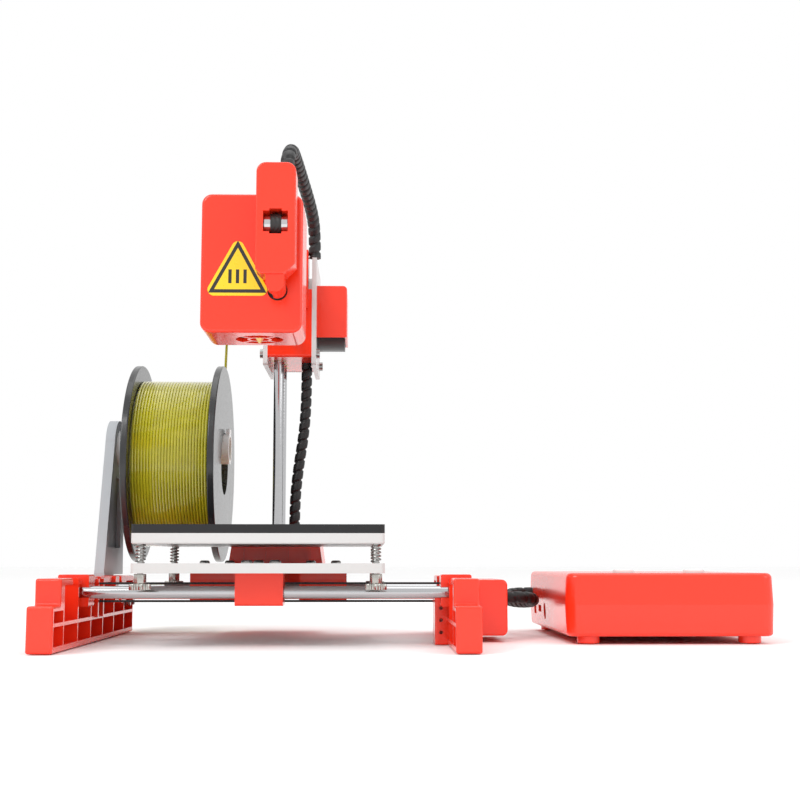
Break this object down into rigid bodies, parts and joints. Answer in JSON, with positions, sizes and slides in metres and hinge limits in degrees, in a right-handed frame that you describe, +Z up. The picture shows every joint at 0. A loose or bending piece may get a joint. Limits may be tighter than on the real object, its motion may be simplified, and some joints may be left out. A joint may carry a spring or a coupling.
{
  "type": "desktop fdm printer",
  "caption": "Small filament printer: bed slides sideways on ribbed legs, head rides a cantilever arm that a column screw lifts, spool holder beside it, separate control box.",
  "frame": {"origin": "on the table under the middle of the box round the whole object, its free cords left out", "axes": "+X along the bed's travel, from the spool towards the control box; +Y from the open front of the legs to the column; +Z up"},
  "size_m": [0.3674, 0.276, 0.2564],
  "materials": {
    "red_plastic": "glossy injection-moulded plastic, orange red",
    "white_plate": "smooth white sheet",
    "black_pad": "fine-grained black build surface",
    "chrome_rod": "ground and polished steel rod",
    "zinc_steel": "bright zinc plate",
    "black_plastic": "black plastic",
    "white_plastic": "glossy white plastic",
    "grey_plastic": "light grey plastic",
    "dark_flange": "dark smoke-grey plastic",
    "filament": "glossy translucent yellow filament",
    "belt_rubber": "black toothed belt",
    "motor_steel": "black lacquered motor can",
    "brass": "turned brass",
    "bronze": "sintered bronze",
    "circuit": "green circuit board",
    "sticker": "yellow printed film",
    "loom_black": "spiral-wrapped black cable bundle",
    "key_plastic": "glossy white key cap"
  },
  "bodies": {
    "frame": {"left_leg": "red_plastic", "right_leg": "red_plastic", "bed_rods": "chrome_rod", "frame_motors": "motor_steel", "motor_housing": "red_plastic", "bed_belt": "belt_rubber", "column_base": "red_plastic", "column_rods": "chrome_rod", "spool_arm": "grey_plastic", "spool_axle": "white_plastic", "frame_bolts": "zinc_steel", "box_bottom_shell": "red_plastic", "box_top_shell": "red_plastic", "box_feet": "red_plastic", "main_board": "circuit", "board_ports": "zinc_steel", "loom_box": "loom_black", "loom_lower": "loom_black", "filament_lower": "filament"},
    "bed": {"bed_pad": "black_pad", "upper_plate": "white_plate", "lower_plate": "white_plate", "levelling_springs": "zinc_steel", "bed_screws": "zinc_steel", "front_bearing_holder": "red_plastic", "rear_bearing_holder": "red_plastic", "bed_bearings": "zinc_steel", "belt_clamp": "black_plastic"},
    "arm": {"arm_block": "red_plastic", "arm_bracket": "white_plate", "arm_screws": "zinc_steel", "arm_bushes": "bronze", "arm_rods": "chrome_rod", "end_block": "red_plastic", "arm_belt": "belt_rubber", "arm_motor": "motor_steel", "arm_motor_cover": "red_plastic", "loom_upper": "loom_black", "filament_upper": "filament"},
    "head": {"head_cover": "red_plastic", "head_base": "red_plastic", "heat_sticker": "sticker", "head_carriage": "black_plastic", "extruder_motor": "zinc_steel", "hot_end": "brass"},
    "spool": {"spool": "dark_flange", "winding": "filament"},
    "nut_front_left": {"nut_front_left": "zinc_steel"},
    "nut_rear_left": {"nut_rear_left": "zinc_steel"},
    "nut_front_right": {"nut_front_right": "zinc_steel"},
    "nut_rear_right": {"nut_rear_right": "zinc_steel"},
    "bed_pulley": {"bed_pulley": "black_plastic"},
    "bed_idler": {"bed_idler": "black_plastic"},
    "lead_screw": {"lead_screw": "chrome_rod"},
    "arm_pulley": {"arm_pulley": "black_plastic"},
    "arm_idler": {"arm_idler": "chrome_rod"},
    "drive_gear": {"drive_gear": "brass"},
    "fan_rotor": {"fan_rotor": "black_plastic"},
    "home_key": {"home_key": "key_plastic"},
    "print_key": {"print_key": "key_plastic"}
  },
  "joints": [
    {"name": "bed_slide", "type": "slide", "parent": "frame", "child": "bed", "axis": [1, 0, 0], "range_m": [-0.0375, 0.0425]},
    {"name": "arm_lift", "type": "slide", "parent": "frame", "child": "arm", "axis": [0, 0, 1], "range_m": [-0.088, 0.012], "deforming": ["loom_lower", "filament_lower"]},
    {"name": "head_slide", "type": "slide", "parent": "arm", "child": "head", "axis": [0, 1, 0], "range_m": [0, 0.095], "deforming": ["loom_upper", "filament_upper"]},
    {"name": "bed_pulley_turn", "type": "hinge", "parent": "frame", "child": "bed_pulley", "pos_m": [0.03485, -0.036, 0.0253], "axis": [0, 1, 0], "range_deg": [-527, 527]},
    {"name": "bed_idler_turn", "type": "hinge", "parent": "frame", "child": "bed_idler", "pos_m": [-0.16665, -0.036, 0.0253], "axis": [0, 1, 0], "range_deg": [-527, 527]},
    {"name": "lead_screw_turn", "type": "hinge", "parent": "frame", "child": "lead_screw", "pos_m": [-0.07645, 0.056, 0.1], "axis": [0, 0, 1], "range_deg": [-541, 3961]},
    {"name": "arm_pulley_turn", "type": "hinge", "parent": "arm", "child": "arm_pulley", "pos_m": [-0.06465, 0.052, 0.199], "axis": [1, 0, 0], "range_deg": [-1178, 0]},
    {"name": "arm_idler_turn", "type": "hinge", "parent": "arm", "child": "arm_idler", "pos_m": [-0.06465, -0.127, 0.199], "axis": [1, 0, 0], "range_deg": [-1178, 0]},
    {"name": "drive_gear_turn", "type": "hinge", "parent": "head", "child": "drive_gear", "pos_m": [-0.07365, -0.09798, 0.173], "axis": [1, 0, 0], "continuous": true},
    {"name": "fan_turn", "type": "hinge", "parent": "head", "child": "fan_rotor", "pos_m": [-0.07365, -0.086, 0.168], "axis": [1, 0, 0], "continuous": true},
    {"name": "spool_turn", "type": "hinge", "parent": "frame", "child": "spool", "pos_m": [-0.13765, 0.078, 0.101], "axis": [1, 0, 0], "continuous": true},
    {"name": "nut_front_left_turn", "type": "hinge", "parent": "bed", "child": "nut_front_left", "pos_m": [-0.13295, -0.0928, 0.031], "axis": [0, 0, 1], "range_deg": [-720, 720]},
    {"name": "nut_rear_left_turn", "type": "hinge", "parent": "bed", "child": "nut_rear_left", "pos_m": [-0.13295, 0.0208, 0.031], "axis": [0, 0, 1], "range_deg": [-720, 720]},
    {"name": "nut_front_right_turn", "type": "hinge", "parent": "bed", "child": "nut_front_right", "pos_m": [-0.01935, -0.0928, 0.031], "axis": [0, 0, 1], "range_deg": [-720, 720]},
    {"name": "nut_rear_right_turn", "type": "hinge", "parent": "bed", "child": "nut_rear_right", "pos_m": [-0.01935, 0.0208, 0.031], "axis": [0, 0, 1], "range_deg": [-720, 720]},
    {"name": "home_key_press", "type": "slide", "parent": "frame", "child": "home_key", "axis": [0, 0, -1], "range_m": [0, 0.001], "stiffness_N_per_m": 800},
    {"name": "print_key_press", "type": "slide", "parent": "frame", "child": "print_key", "axis": [0, 0, -1], "range_m": [0, 0.001], "stiffness_N_per_m": 800}
  ],
  "couplings": [
    {"joint": "bed_pulley_turn", "follows": "bed_slide", "rad_per_m": 216.22},
    {"joint": "bed_idler_turn", "follows": "bed_slide", "rad_per_m": 216.22},
    {"joint": "lead_screw_turn", "follows": "arm_lift", "rad_per_m": -785.4},
    {"joint": "arm_pulley_turn", "follows": "head_slide", "rad_per_m": -216.22},
    {"joint": "arm_idler_turn", "follows": "head_slide", "rad_per_m": -216.22}
  ]
}
